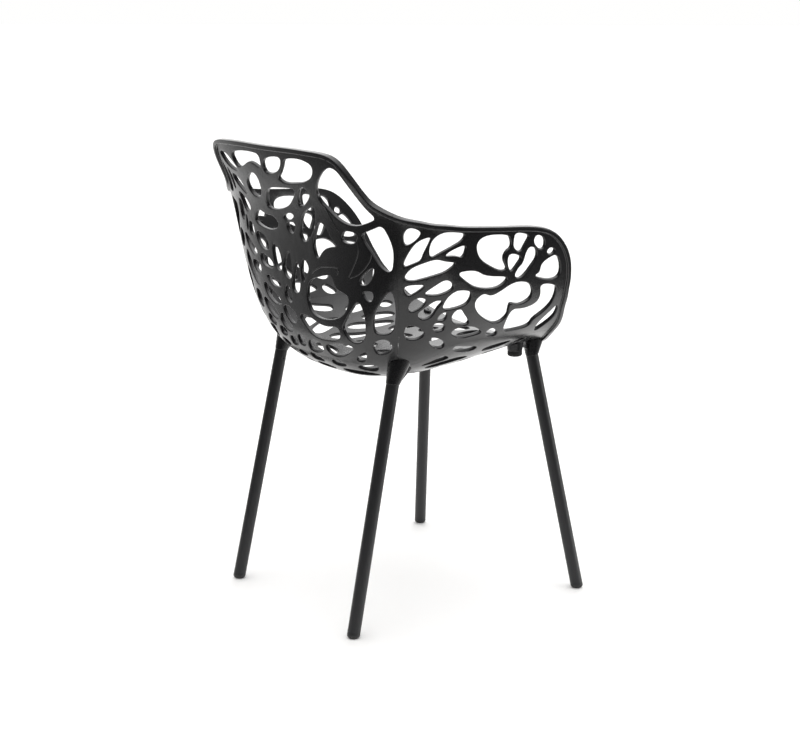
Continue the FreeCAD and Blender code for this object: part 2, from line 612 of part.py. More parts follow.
def hub_of(leg, rounds=12):
    """The place where a leg's centre line meets the outer face of the bowl."""
    foot, way = leg_line(leg)
    spot = foot + way * ((LEG_REF_Z - FLOOR_Z) / way.z)
    for _ in range(rounds):
        place = nearest(spot)
        up = normal(place)
        spot = spot - way * ((spot - point(place)).dot(up) / way.dot(up))
    return nearest(spot)


REAR_HUB = hub_of(REAR_LEG)
FRONT_HUB = hub_of(FRONT_LEG)
REAR_HUB_RIGHT = (-REAR_HUB[0], REAR_HUB[1])
FRONT_HUB_RIGHT = (-FRONT_HUB[0], FRONT_HUB[1])


# The four castings

def arm_casting():
    """The arm on the sitter's left."""
    back_seam = inset(backward(seam_from(REAR_HUB, ARM_BACK_SEAM)))
    seat_seam = inset(seam_from(REAR_HUB, ARM_SEAT_SEAM))
    rim = rim_span(rim_stop(fractions_of([ARM_SEAT_END])[0]), rim_stop(fractions_of([ARM_BACK_END])[0]))

    def seams(start, stop):
        corner = hub_corner(REAR_HUB, back_seam[-1], seat_seam[0])
        return [smooth([start] + back_seam), corner, smooth(seat_seam + [stop])]

    return casting(rim, seams, outlines(ARM_OPENINGS))


def back_casting():
    """The back between the two arms, above the seat."""
    left = seam_from(REAR_HUB, ARM_BACK_SEAM)
    right_down = inset(backward(mirrored(left)))
    left_up = inset(left)
    edge = seam_from(REAR_HUB, SEAT_BACK_SEAM)
    across = inset(backward(edge + [mirrored(edge)[0]]))
    end = fractions_of([ARM_BACK_END])
    rim = rim_span(rim_stop(end[0]), rim_stop(mirrored(end)[0]))

    def seams(start, stop):
        return [
            smooth([start] + right_down),
            hub_corner(REAR_HUB_RIGHT, right_down[-1], across[0]),
            smooth(across),
            hub_corner(REAR_HUB, across[-1], left_up[0]),
            smooth(left_up + [stop]),
        ]

    return casting(rim, seams, outlines(BACK_OPENINGS))


def seat_casting():
    """The seat between the two arms, in front of the back."""
    left = seam_from(REAR_HUB, ARM_SEAT_SEAM)
    left_up = inset(backward(left))
    right_down = inset(mirrored(left))
    edge = seam_from(REAR_HUB, SEAT_BACK_SEAM)
    across = inset(edge + [mirrored(edge)[0]])
    end = fractions_of([ARM_SEAT_END])
    rim = rim_span(rim_stop(mirrored(end)[0]), rim_stop(end[0]))
    holes = outlines(SEAT_OPENINGS + [mirrored(poles) for poles in SEAT_OPENINGS] + SEAT_MIDDLE_OPENINGS)
    holes += [ring(FRONT_HUB, SCREW_HOLE_D), ring(FRONT_HUB_RIGHT, SCREW_HOLE_D)]

    def seams(start, stop):
        return [
            smooth([start] + left_up),
            hub_corner(REAR_HUB, left_up[-1], across[0]),
            smooth(across),
            hub_corner(REAR_HUB_RIGHT, across[-1], right_down[0]),
            smooth(right_down + [stop]),
        ]

    return casting(rim, seams, holes)


# Leg heads

def under_bowl(hub):
    """Everything below the bowl round a hub, less the clearance a head keeps from the castings."""
    u, v = hub
    reach = PAD_REACH / 100.0
    patch = HEAD_SEAT.toShape(u - reach, u + reach, max(v - reach, 0.0), v + reach)
    return patch.extrude(Vector(0, 0, -PAD_DROP))


def bead_room(hub):
    """The room that the rim bead needs near a hub, and all that lies outside it as high as the bead."""
    middle = rim_stop(hub)
    count = len(RIM_LINE)
    run = [RIM_LINE[i % count] for i in range(middle - BEAD_ROOM_STOPS, middle + BEAD_ROOM_STOPS + 1)]
    outside = beside(run, -BEAD_ROOM_OUT)
    inside = beside(run, BEAD_W + HEAD_SEAT_GAP)
    border = [
        smooth(outside),
        straight(outside[-1], inside[-1]),
        smooth(inside),
        straight(inside[0], outside[0]),
    ]
    faces = [face_on(INNER, border, []), face_on(BEAD_CLEAR, border, [])]
    return sewn_solid(faces + walls_between(INNER, BEAD_CLEAR, border))


def head_base(leg):
    """The centre of a head's lower end and the direction of its leg's axis."""
    foot, way = leg_line(leg)
    return point(hub_of(leg)) - way * leg["head"], way


def head_cone(leg):
    """The flared collar of a head, carried on through the bowl."""
    base, way = head_base(leg)
    growth = (leg["wide"] - HEAD_LOW_D) / 2.0 / leg["head"]
    length = leg["head"] + leg["wide"]
    low = Part.Circle(base, way, HEAD_LOW_D / 2.0).toShape()
    centre = base + way * length + Vector(0, -leg["lean"] * length, 0)
    high = Part.Circle(centre, way, HEAD_LOW_D / 2.0 + growth * length).toShape()
    return Part.makeLoft([Part.Wire([low]), Part.Wire([high])], True, True)


def spigot(leg):
    """The round bar below a head that fits inside the tube."""
    base, way = head_base(leg)
    radius = TUBE_D / 2.0 - TUBE_WALL - SPIGOT_FIT
    return Part.makeCylinder(radius, SPIGOT_L + leg["head"] / 2.0, base - way * SPIGOT_L, way)


def upright_web(start, run, reach, depth, thickness):
    """An upright web that runs from a point to a reach away, its lower edge rising to nothing there."""
    side = Vector(-run.y, run.x, 0)
    corner = start - side * (thickness / 2.0)
    corners = [
        corner + Vector(0, 0, HIGH),
        corner - Vector(0, 0, depth),
        corner + run * reach,
        corner + run * reach + Vector(0, 0, HIGH),
    ]
    face = Part.Face(Part.makePolygon(corners + [corners[0]]))
    return face.extrude(side * thickness)


def set_screw_line(leg):
    """The point on a leg's axis beside its set screw, and the direction out towards the chair's middle."""
    base, way = head_base(leg)
    middle = base - way * SET_SCREW_DOWN
    inward = Vector(-middle.x, 0, 0)
    out = inward - way * inward.dot(way)
    out.normalize()
    return middle, out


def set_screw_hole(leg):
    """The hole for a set screw, through the tube wall and into the spigot."""
    middle, out = set_screw_line(leg)
    bottom = TUBE_D / 2.0 - SET_SCREW_SUNK - SET_SCREW_L - SET_SCREW_FIT
    return Part.makeCylinder(SET_SCREW_D / 2.0 + SET_SCREW_FIT, TUBE_D, middle + out * bottom, out)


def screw_hole(hub):
    """The hole in a head for the screw through the castings."""
    up = normal(hub)
    depth = SCREW_DEPTH + SCREW_TIP_GAP
    return Part.makeCylinder(SCREW_D / 2.0 + SCREW_FIT, depth + HIGH, point(hub) - up * depth, up)


def rear_head():
    """The rear head on the sitter's left, with the rib that runs forward under the seat."""
    hub = hub_of(REAR_LEG)
    rib = upright_web(point(hub), Vector(0, -1, 0), RIB_REACH, RIB_DEPTH, RIB_T)
    body = head_cone(REAR_LEG).fuse(rib).common(under_bowl(hub)).fuse(spigot(REAR_LEG))
    return body.cut([screw_hole(hub), set_screw_hole(REAR_LEG)])


def boss_centre():
    """Where the centre line of the bumper boss meets the bowl, sitter's left."""
    spot = point(hub_of(FRONT_LEG)) + Vector(0, BOSS_SETBACK, 0)
    return point(nearest(spot))


def front_head():
    """The front head on the sitter's left, with the web and the boss for the bumper."""
    hub = hub_of(FRONT_LEG)
    centre = boss_centre()
    low = centre - Vector(0, 0, BOSS_LENGTH)
    growth = (BOSS_TOP_D - BOSS_D) / 2.0 / BOSS_LENGTH
    height = BOSS_LENGTH + HIGH
    boss = Part.makeCone(BOSS_D / 2.0, BOSS_D / 2.0 + growth * height, height, low)
    web = upright_web(point(hub), Vector(0, 1, 0), BOSS_SETBACK, WEB_DEPTH, WEB_T)
    body = head_cone(FRONT_LEG).fuse([boss, web]).common(under_bowl(hub)).fuse(spigot(FRONT_LEG))
    hole = Part.makeCylinder(BUMPER_STEM_D / 2.0 + BUMPER_FIT, BUMPER_STEM_L + BUMPER_FIT, low)
    return body.cut([screw_hole(hub), set_screw_hole(FRONT_LEG), hole, bead_room(hub)])


def bumper():
    """The rubber bumper under the boss, sitter's left, with its stem."""
    low = boss_centre() - Vector(0, 0, BOSS_LENGTH + BUMPER_SEAT_GAP)
    disc = Part.makeCylinder(BOSS_D / 2.0, BUMPER_H, low - Vector(0, 0, BUMPER_H))
    bottom = [e for e in disc.Edges if e.BoundBox.ZMax < low.z - BUMPER_H / 2.0]
    disc = disc.makeFillet(BUMPER_EDGE, bottom)
    stem = Part.makeCylinder(BUMPER_STEM_D / 2.0, BUMPER_STEM_L, low)
    return disc.fuse(stem)


# Legs and feet

def tube(leg):
    """One leg tube, from just above the glide to the head's shoulder."""
    foot, way = leg_line(leg)
    low = foot + way * GLIDE_H
    base, _ = head_base(leg)
    length = (base - low).Length - SHOULDER_GAP
    outside = Part.makeCylinder(TUBE_D / 2.0, length, low, way)
    inside = Part.makeCylinder(TUBE_D / 2.0 - TUBE_WALL, length, low, way)
    return outside.cut([inside, set_screw_hole(leg)])


def glide(leg):
    """One foot glide: a rounded pad cut flat on the floor, and a stem inside the tube."""
    foot, way = leg_line(leg)
    seat = foot + way * (GLIDE_H - GLIDE_SEAT_GAP)
    radius = TUBE_D / 2.0
    pad = Part.makeCylinder(radius, GLIDE_H * 2, seat - way * GLIDE_H * 2, way)
    floor = Part.makeBox(HIGH * 2, HIGH * 2, HIGH, foot + Vector(-HIGH, -HIGH, 0))
    pad = pad.common(floor)
    stem_r = radius - TUBE_WALL - GLIDE_STEM_FIT
    stem = Part.makeCylinder(stem_r, GLIDE_STEM_L, seat, way)
    round_pad = rounded_foot(pad, foot)
    return round_pad.fuse(stem)


def rounded_foot(pad, foot):
    """A glide pad with its floor edge rounded."""
    low = [e for e in pad.Edges if e.BoundBox.ZMax < foot.z + SEW_TOLERANCE]
    return pad.makeFillet(GLIDE_EDGE, low)


# Screws

def hex_prism(across, depth, base, way):
    """A hexagonal prism for a key socket."""
    side = Vector(0, 1, 0).cross(way)
    side.normalize()
    other = way.cross(side)
    radius = across / math.sqrt(3.0)
    corners = []
    for i in range(6):
        turn = math.pi / 3 * i
        corners.append(base + side * radius * math.cos(turn) + other * radius * math.sin(turn))
    face = Part.Face(Part.makePolygon(corners + [corners[0]]))
    return face.extrude(way * depth)


def head_screw(hub):
    """The button-head screw that clamps the castings on a leg head, its head inside the bowl."""
    up = normal(hub)
    seat = point(hub) + up * (SHELL_T + SCREW_SEAT)
    button = Part.makeCylinder(SCREW_HEAD_D / 2.0, SCREW_HEAD_H, seat, up)
    rim = [e for e in button.Edges if (e.CenterOfMass - seat).dot(up) > SCREW_HEAD_H - SEW_TOLERANCE]
    button = button.makeChamfer(SCREW_HEAD_EDGE, rim)
    length = SHELL_T + SCREW_SEAT + SCREW_DEPTH
    shank = Part.makeCylinder(SCREW_D / 2.0, length, seat - up * length, up)
    key = hex_prism(KEY_ACROSS, KEY_DEPTH, seat + up * (SCREW_HEAD_H - KEY_DEPTH), up)
    return button.fuse(shank).cut(key)


def set_screw(leg):
    """The set screw that locks a tube on the spigot of its head."""
    middle, out = set_screw_line(leg)
    outer = middle + out * (TUBE_D / 2.0 - SET_SCREW_SUNK)
    body = Part.makeCylinder(SET_SCREW_D / 2.0, SET_SCREW_L, outer - out * SET_SCREW_L, out)
    key = hex_prism(SET_KEY_ACROSS, SET_KEY_DEPTH, outer - out * SET_KEY_DEPTH, out)
    return body.cut(key)


# Assembly

def other_side(shape):
    """The same shape on the other side of the chair."""
    return shape.mirror(Vector(0, 0, 0), Vector(1, 0, 0))


def both_sides(shapes):
    """Shapes with their mirror images, as one compound."""
    return Part.makeCompound(shapes + [other_side(s) for s in shapes])


def chair():
    """Every node of the chair by name."""
    nodes = {
        "back_casting": back_casting(),
        "seat_casting": seat_casting(),
        "head_screws": both_sides([head_screw(REAR_HUB), head_screw(FRONT_HUB)]),
        "leg_set_screws": both_sides([set_screw(REAR_LEG), set_screw(FRONT_LEG)]),
    }
    sided = {
        "arm_casting_{}": arm_casting(),
        "rear_leg_head_{}": rear_head(),
        "front_leg_head_{}": front_head(),
        "stacking_bumper_{}": bumper(),
        "rear_leg_tube_{}": tube(REAR_LEG),
        "front_leg_tube_{}": tube(FRONT_LEG),
        "rear_foot_glide_{}": glide(REAR_LEG),
        "front_foot_glide_{}": glide(FRONT_LEG),
    }
    for name, shape in sided.items():
        nodes[name.format("left")] = shape
        nodes[name.format("right")] = other_side(shape)
    return nodes


def main():
    os.makedirs("parts", exist_ok=True)
    nodes = chair()
    box = Part.makeCompound(list(nodes.values())).optimalBoundingBox()
    move = Vector(-box.Center.x, -box.Center.y, -box.ZMin)
    for name, shape in nodes.items():
        shape.translate(move)
        shape.exportStep("parts/" + name + ".step")
    print("moved by", round(move.x, 3), round(move.y, 3), round(move.z, 3))


main()
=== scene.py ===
# Garden armchair with an openwork bucket seat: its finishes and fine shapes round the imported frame.
import math

import bmesh
import bpy
from bpy.props import FloatProperty, FloatVectorProperty, IntProperty, PointerProperty
from mathutils import Matrix, Vector
from mathutils.bvhtree import BVHTree
from mathutils.kdtree import KDTree


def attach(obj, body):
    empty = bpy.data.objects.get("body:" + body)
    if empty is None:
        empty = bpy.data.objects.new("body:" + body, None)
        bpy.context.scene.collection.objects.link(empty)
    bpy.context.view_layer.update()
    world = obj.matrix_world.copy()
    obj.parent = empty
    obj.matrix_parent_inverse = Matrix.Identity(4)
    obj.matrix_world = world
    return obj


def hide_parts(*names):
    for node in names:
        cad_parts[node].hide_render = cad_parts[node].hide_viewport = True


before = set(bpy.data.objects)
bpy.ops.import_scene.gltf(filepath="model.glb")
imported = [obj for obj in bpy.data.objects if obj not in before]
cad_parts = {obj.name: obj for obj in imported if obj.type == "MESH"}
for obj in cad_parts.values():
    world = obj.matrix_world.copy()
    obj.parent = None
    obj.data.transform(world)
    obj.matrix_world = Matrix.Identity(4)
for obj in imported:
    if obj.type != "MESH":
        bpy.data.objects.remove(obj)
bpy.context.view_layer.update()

bl_info = {
    "name": "Openwork garden armchair",
    "version": (1, 0, 0),
    "blender": (4, 5, 0),
    "location": "View3D > Sidebar > Armchair",
    "description": "Finishes, rounded edges, fasteners and studio for an openwork garden armchair",
    "category": "Object",
}

CASTINGS = ("back_casting", "seat_casting", "arm_casting_left", "arm_casting_right")
HEADS = ("rear_leg_head_left", "rear_leg_head_right", "front_leg_head_left", "front_leg_head_right")
TUBES = ("rear_leg_tube_left", "rear_leg_tube_right", "front_leg_tube_left", "front_leg_tube_right")
GLIDES = ("rear_foot_glide_left", "rear_foot_glide_right", "front_foot_glide_left", "front_foot_glide_right")
BUMPERS = ("stacking_bumper_left", "stacking_bumper_right")
BODY = "root"

# The photograph's view: image size in pixels, focal length in pixels, target and distance in
# metres, and the turn of the line of sight in degrees
IMAGE_WIDTH = 800
FOCAL_PIXELS = 1640.6
VIEW_TARGET = (-0.04435, 0.00983, 0.39616)
VIEW_DISTANCE = 2.8694
VIEW_AZIMUTH = 232.66
VIEW_ELEVATION = 13.44
VIEW_ROLL = -0.11
SENSOR_WIDTH = 36.0
VIEW_LIMIT = 200.0

# Rounding: edges that bend more than this many degrees are rounded, with this many flats on small pieces
CASTING_BEND = 35.0
SMALL_BEND = 30.0
SMALL_STEPS = 3

# Cleaning of the rounded meshes, in metres: corners this close are one, and edges this short are dropped
SAME_CORNER = 0.000002
SHORT_EDGE = 0.00015
# Rounding can throw a corner out into a spike, more than this many radii from the edges that it rounds
SPIKE_REACH = 1.5
# Closer corners and shorter edges are dropped only beside the corners that were drawn in from a spike
DRAWN_CORNER = 0.00001
DRAWN_EDGE = 0.00003
TOUCHING_CORNER = 0.000001
# How strongly large faces set the shading of the corners that they share, from 1 to 100
LARGE_FACE_WEIGHT = 60

# Turned fasteners: the corners of a round ring and of a key socket's, the bend in degrees that stays
# sharp, and the depth in metres below the head's seat that is rubbed bright
ROUND = 0
SIX_SIDED = 6
TURNED_BEND = 38
RUBBED_DEPTH = 0.002
SCREW_SIDES = 48
SET_SCREW_SIDES = 36
SCREW_SEED = 3
SET_SCREW_SEED = 5
# The button head's dome: its shares of the head's radius and height, and where its rings stand in radians
DOME_WIDTH_SHARE = 0.36
DOME_HEIGHT_SHARE = 0.75
DOME_TURNS = (0.0, 0.25, 0.5, 0.75, 1.0, 1.25, 1.5)
# Rounds of the search for a solid's long axis
AXIS_ROUNDS = 60

# Lights: the point that they face, their places and widths in metres, and how fast the room's light fades
LIT_POINT = (0.0, 0.0, 0.5)
SIDE_LIGHT_PLACE = (-2.6, -2.6, 0.35)
SIDE_LIGHT_WIDTH = 1.2
FAR_LIGHT_PLACE = (1.8, -1.8, 2.4)
FAR_LIGHT_WIDTH = 2.0
ROOM_FADE = 4.0

# Raised lines on the petals of the back, as points in metres near its outer face
PETAL_LINES = (
    ((-0.168, 0.188, 0.661), (-0.167, 0.187, 0.650), (-0.160, 0.186, 0.633), (-0.149, 0.187, 0.615),
     (-0.140, 0.187, 0.602)),
    ((-0.194, 0.180, 0.647), (-0.187, 0.180, 0.633), (-0.174, 0.182, 0.618), (-0.159, 0.184, 0.607),
     (-0.143, 0.186, 0.601)),
    ((-0.047, 0.195, 0.596), (-0.059, 0.195, 0.604), (-0.075, 0.194, 0.610), (-0.097, 0.193, 0.613),
     (-0.116, 0.191, 0.613), (-0.113, 0.191, 0.602)),
    ((-0.111, 0.217, 0.721), (-0.115, 0.209, 0.705), (-0.120, 0.203, 0.689), (-0.129, 0.198, 0.676)),
)


# Settings

class ArmchairCastings(bpy.types.PropertyGroup):
    edge_radius: FloatProperty(
        name="Edge radius", description="Rounding of the rim and of the edges of the openings",
        default=0.0016, min=0.0005, max=0.003, unit="LENGTH")
    edge_steps: IntProperty(
        name="Edge steps", description="Flats across each rounded edge", default=3, min=1, max=6)
    seam_reach: FloatProperty(
        name="Seam reach", description="Edges nearer than this to the next casting stay square",
        default=0.0020, unit="LENGTH")
    paint: FloatVectorProperty(
        name="Paint", description="Colour of the satin paint on the castings",
        default=(0.0076, 0.0075, 0.0084), subtype="COLOR", min=0.0, max=1.0)
    gloss_roughness: FloatProperty(
        name="Roughness", description="Mean roughness of the satin paint", default=0.22, min=0.1, max=0.9)


class ArmchairPetals(bpy.types.PropertyGroup):
    line_width: FloatProperty(
        name="Line thickness", description="Radius of the round bar that each raised line is the top of",
        default=0.0015, unit="LENGTH")
    line_sink: FloatProperty(
        name="Line sink", description="How far the middle of that bar lies under the face",
        default=0.0006, unit="LENGTH")
    line_step: FloatProperty(
        name="Line step", description="Distance between the points of a raised line",
        default=0.0015, unit="LENGTH")


class ArmchairFasteners(bpy.types.PropertyGroup):
    head_diameter: FloatProperty(
        name="Head diameter", description="Diameter of the button heads", default=0.015, unit="LENGTH")
    head_height: FloatProperty(
        name="Head height", description="Height of the button heads", default=0.004, unit="LENGTH")
    key_across: FloatProperty(
        name="Key width", description="Width across flats of the key socket", default=0.005, unit="LENGTH")
    shank_diameter: FloatProperty(
        name="Shank diameter", description="Diameter of the screws", default=0.008, unit="LENGTH")
    set_diameter: FloatProperty(
        name="Set screw diameter", description="Diameter of the set screws", default=0.006, unit="LENGTH")
    set_key_across: FloatProperty(
        name="Set screw key width", description="Width across flats of the set screws' sockets",
        default=0.003, unit="LENGTH")


class ArmchairLegs(bpy.types.PropertyGroup):
    head_edge: FloatProperty(
        name="Head edge radius", description="Rounding of the edges of the leg heads",
        default=0.0010, unit="LENGTH")
    moulded_edge: FloatProperty(
        name="Moulded edge radius", description="Rounding of the edges of the bumpers and glides",
        default=0.0006, unit="LENGTH")
    coat: FloatVectorProperty(
        name="Coat", description="Colour of the matt powder coat on the legs",
        default=(0.0100, 0.0101, 0.0114), subtype="COLOR", min=0.0, max=1.0)
    coat_grain: FloatProperty(
        name="Coat grain", description="Size of the powder coat's grain", default=0.0006, unit="LENGTH")


class ArmchairStage(bpy.types.PropertyGroup):
    floor_near: FloatProperty(
        name="Floor near", description="How far the floor runs towards the camera", default=1.0,
        unit="LENGTH")
    floor_far: FloatProperty(
        name="Floor far", description="How far the floor runs away from the camera", default=40.0,
        unit="LENGTH")
    floor_margin: FloatProperty(
        name="Floor margin", description="How far the floor runs past the picture's sides", default=0.15,
        unit="LENGTH")
    floor_colour: FloatVectorProperty(
        name="Floor", description="Colour of the floor", default=(0.955, 0.951, 0.946), subtype="COLOR",
        min=0.0, max=1.0)
    near_light: FloatProperty(
        name="Near light", description="Brightness of the room behind the camera", default=0.10)
    far_light: FloatProperty(
        name="Far light", description="Brightness of the room behind the chair", default=1.9)
    top_light: FloatProperty(
        name="Top light", description="Brightness that the ceiling adds", default=3.0)
    side_power: FloatProperty(
        name="Side light power", description="Power of the low light beside the near arm", default=28.0,
        unit="POWER")
    far_power: FloatProperty(
        name="Far light power", description="Power of the light above the side away from the camera",
        default=12.0, unit="POWER")


# Materials

class Value:
    """A node's output that can be reckoned with; each sum adds its Math node."""

    def __init__(self, socket):
        self.socket = socket

    def reckon(self, operation, *terms):
        node = self.socket.id_data.nodes.new("ShaderNodeMath")
        node.operation = operation
        for place, term in zip(node.inputs, terms):
            feed(place, term)
        return Value(node.outputs[0])

    def __add__(self, other):
        return self.reckon("ADD", self, other)

    __radd__ = __add__

    def __sub__(self, other):
        return self.reckon("SUBTRACT", self, other)

    def __rsub__(self, other):
        return self.reckon("SUBTRACT", other, self)

    def __mul__(self, other):
        return self.reckon("MULTIPLY", self, other)

    __rmul__ = __mul__

    def __pow__(self, other):
        return self.reckon("POWER", self, other)

    def clamp(self, low=0.0, high=1.0):
        return self.reckon("MAXIMUM", self.reckon("MINIMUM", self, high), low)


def feed(place, term):
    """Gives a socket a value or a link."""
    if isinstance(term, Value):
        place.id_data.links.new(term.socket, place)
    else:
        place.default_value = term


class Finish:
    """A material, with one method that adds any node to it."""

    def __init__(self, name):
        self.material = bpy.data.materials.new(name)
        self.material.use_nodes = True
        self.tree = self.material.node_tree
        self.tree.nodes.clear()

    def node(self, kind, settings=None, inputs=None, output=0):
        """Adds a node with its settings and inputs, and gives the output that is used."""
        made = self.tree.nodes.new(kind)
        for key, setting in (settings or {}).items():
            setattr(made, key, setting)
        for key, term in (inputs or {}).items():
            feed(made.inputs[key], term)
        return Value(made.outputs[output])

    def place(self):
        return self.node("ShaderNodeTexCoord", output=3)

    def noise(self, size, detail, rough=0.5):
        """Noise from 0 to 1 with features of about the given size in metres."""
        settings = {"noise_dimensions": "3D"}
        inputs = {"Vector": self.place(), "Scale": 1.0 / size, "Detail": detail, "Roughness": rough}
        return self.node("ShaderNodeTexNoise", settings, inputs)

    def attribute(self, name):
        return self.node("ShaderNodeAttribute", {"attribute_name": name}, output=2)

    def blend(self, share, first, second):
        """A colour between two colours."""
        settings = {"data_type": "RGBA"}
        return self.node("ShaderNodeMix", settings, {0: share, 6: first, 7: second}, output=2)

    def facing_up(self):
        """1 where a surface faces up, 0 where it is upright or faces down."""
        normal = self.node("ShaderNodeNewGeometry", output=1)
        up = self.node("ShaderNodeSeparateXYZ", inputs={0: normal}, output=2)
        return up.clamp()

    def bump(self, height, depth):
        """A normal bent by a height from 0 to 1 that stands for the given depth in metres."""
        return self.node("ShaderNodeBump", inputs={"Strength": 1.0, "Distance": depth, "Height": height})

    def surface(self, **sockets):
        """Ends the material with its shader; a socket's name has _ for each space."""
        inputs = {key.replace("_", " "): term for key, term in sockets.items()}
        shader = self.node("ShaderNodeBsdfPrincipled", inputs=inputs)
        out = self.tree.nodes.new("ShaderNodeOutputMaterial")
        feed(out.inputs["Surface"], shader)
        return self.material


def colour(rgb, gain=1.0):
    """A colour setting, made paler by the gain, with the fourth number that a socket asks for."""
    return (rgb[0] * gain, rgb[1] * gain, rgb[2] * gain, 1.0)


def satin_casting_paint(settings):
    """Satin black paint over cast metal: slow waves, orange peel, dust on what faces up, paler edges."""
    finish = Finish("satin_casting_paint")
    waves = finish.noise(size=0.035, detail=2.0)
    patches = finish.noise(size=0.06, detail=3.0, rough=0.6)
    peel = finish.noise(size=0.0014, detail=2.0)
    grain = finish.noise(size=0.0004, detail=1.0)
    edge = finish.attribute("rounded_edge")
    dust = finish.facing_up() * finish.noise(size=0.012, detail=4.0, rough=0.65)
    worn = (edge * finish.noise(size=0.006, detail=2.0) * 0.5 + dust * 0.35 + patches * 0.15).clamp()
    base = finish.blend(worn, colour(settings.paint), colour(settings.paint, 2.1))
    roughness = settings.gloss_roughness + 0.10 * (patches - 0.5) + 0.10 * dust + 0.06 * (grain - 0.5)
    height = waves * 0.86 + peel * 0.11 + grain * 0.03
    return finish.surface(
        Base_Color=base, Roughness=roughness.clamp(0.15, 0.8), Normal=finish.bump(height, depth=0.0006),
        Specular_IOR_Level=0.55)


def satin_head_paint(settings):
    """The same paint on the smaller leg heads, a little rougher and with a finer orange peel."""
    finish = Finish("satin_head_paint")
    patches = finish.noise(size=0.02, detail=3.0, rough=0.6)
    peel = finish.noise(size=0.0012, detail=2.0)
    edge = finish.attribute("rounded_edge")
    worn = (edge * finish.noise(size=0.004, detail=2.0) * 0.6 + patches * 0.2).clamp()
    base = finish.blend(worn, colour(settings.paint, 0.95), colour(settings.paint, 2.0))
    roughness = settings.gloss_roughness + 0.05 + 0.10 * (patches - 0.5)
    return finish.surface(
        Base_Color=base, Roughness=roughness.clamp(0.15, 0.8), Normal=finish.bump(peel, depth=0.00008),
        Specular_IOR_Level=0.5)


def matt_leg_coat(settings):
    """Matt powder coat with a fine sandy grain and a few rubbed patches."""
    finish = Finish("matt_leg_coat")
    grain = finish.noise(size=settings.coat_grain, detail=2.0, rough=0.6)
    rubbed = finish.noise(size=0.03, detail=3.0, rough=0.6)
    specks = (finish.noise(size=settings.coat_grain * 2.5, detail=1.0) - 0.62).clamp() * 4.0
    worn = (specks * 0.35 + rubbed * 0.3).clamp()
    base = finish.blend(worn, colour(settings.coat), colour(settings.coat, 1.9))
    roughness = 0.44 + 0.12 * (rubbed - 0.5) + 0.12 * (grain - 0.5)
    return finish.surface(
        Base_Color=base, Roughness=roughness.clamp(0.2, 0.9), Normal=finish.bump(grain, depth=0.00007),
        Specular_IOR_Level=0.5)


def blackened_steel():
    """Blackened screws: near black, metallic, with faint turning marks."""
    finish = Finish("blackened_steel")
    marks = finish.noise(size=0.0007, detail=3.0, rough=0.6)
    rubbed = finish.attribute("rounded_edge") * finish.noise(size=0.0015, detail=2.0)
    base = finish.blend(rubbed.clamp(), (0.022, 0.022, 0.024, 1.0), (0.09, 0.09, 0.092, 1.0))
    roughness = 0.34 + 0.15 * (marks - 0.5)
    return finish.surface(
        Base_Color=base, Metallic=0.6, Roughness=roughness.clamp(0.15, 0.8),
        Normal=finish.bump(marks, depth=0.00002))


def bumper_rubber():
    """Matt black rubber with a bloom of pale dust."""
    finish = Finish("bumper_rubber")
    bloom = finish.noise(size=0.005, detail=4.0, rough=0.65)
    pores = finish.noise(size=0.0005, detail=2.0)
    base = finish.blend(bloom * 0.6, (0.012, 0.012, 0.012, 1.0), (0.03, 0.03, 0.029, 1.0))
    roughness = 0.62 + 0.2 * (bloom - 0.5)
    return finish.surface(
        Base_Color=base, Roughness=roughness.clamp(0.3, 0.95), Normal=finish.bump(pores, depth=0.00004),
        Specular_IOR_Level=0.4)


def glide_plastic():
    """Moulded black plastic, scuffed towards the floor."""
    finish = Finish("glide_plastic")
    height = finish.node("ShaderNodeSeparateXYZ", inputs={0: finish.place()}, output=2)
    low = (1.0 - height * 120.0).clamp()
    scuffs = finish.noise(size=0.0012, detail=4.0, rough=0.7)
    worn = (low * scuffs * 1.2).clamp()
    base = finish.blend(worn, (0.016, 0.016, 0.017, 1.0), (0.07, 0.068, 0.064, 1.0))
    roughness = 0.48 + 0.3 * worn
    return finish.surface(
        Base_Color=base, Roughness=roughness.clamp(0.3, 0.95), Normal=finish.bump(scuffs, depth=0.00006),
        Specular_IOR_Level=0.45)


def pale_floor(settings):
    """Pale studio floor with the faintest unevenness."""
    finish = Finish("pale_floor")
    drift = finish.noise(size=0.9, detail=2.0)
    base = finish.blend(drift, colour(settings.floor_colour), colour(settings.floor_colour, 0.985))
    return finish.surface(Base_Color=base, Roughness=0.9 + 0.05 * (drift - 0.5), Specular_IOR_Level=0.1)


# Shapes

def new_piece(name, mesh, material):
    """An object for a finished mesh, at the origin."""
    piece = bpy.data.objects.new(name, mesh)
    bpy.context.scene.collection.objects.link(piece)
    mesh.materials.clear()
    mesh.materials.append(material)
    return piece


def dress(node_name, material):
    """Gives a node that stays its material."""
    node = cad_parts[node_name]
    node.data.materials.clear()
    node.data.materials.append(material)


def node_surface(node_name):
    """A node's surface, to find nearest points on."""
    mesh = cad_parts[node_name].data
    return BVHTree.FromPolygons([v.co for v in mesh.vertices], [p.vertices for p in mesh.polygons])


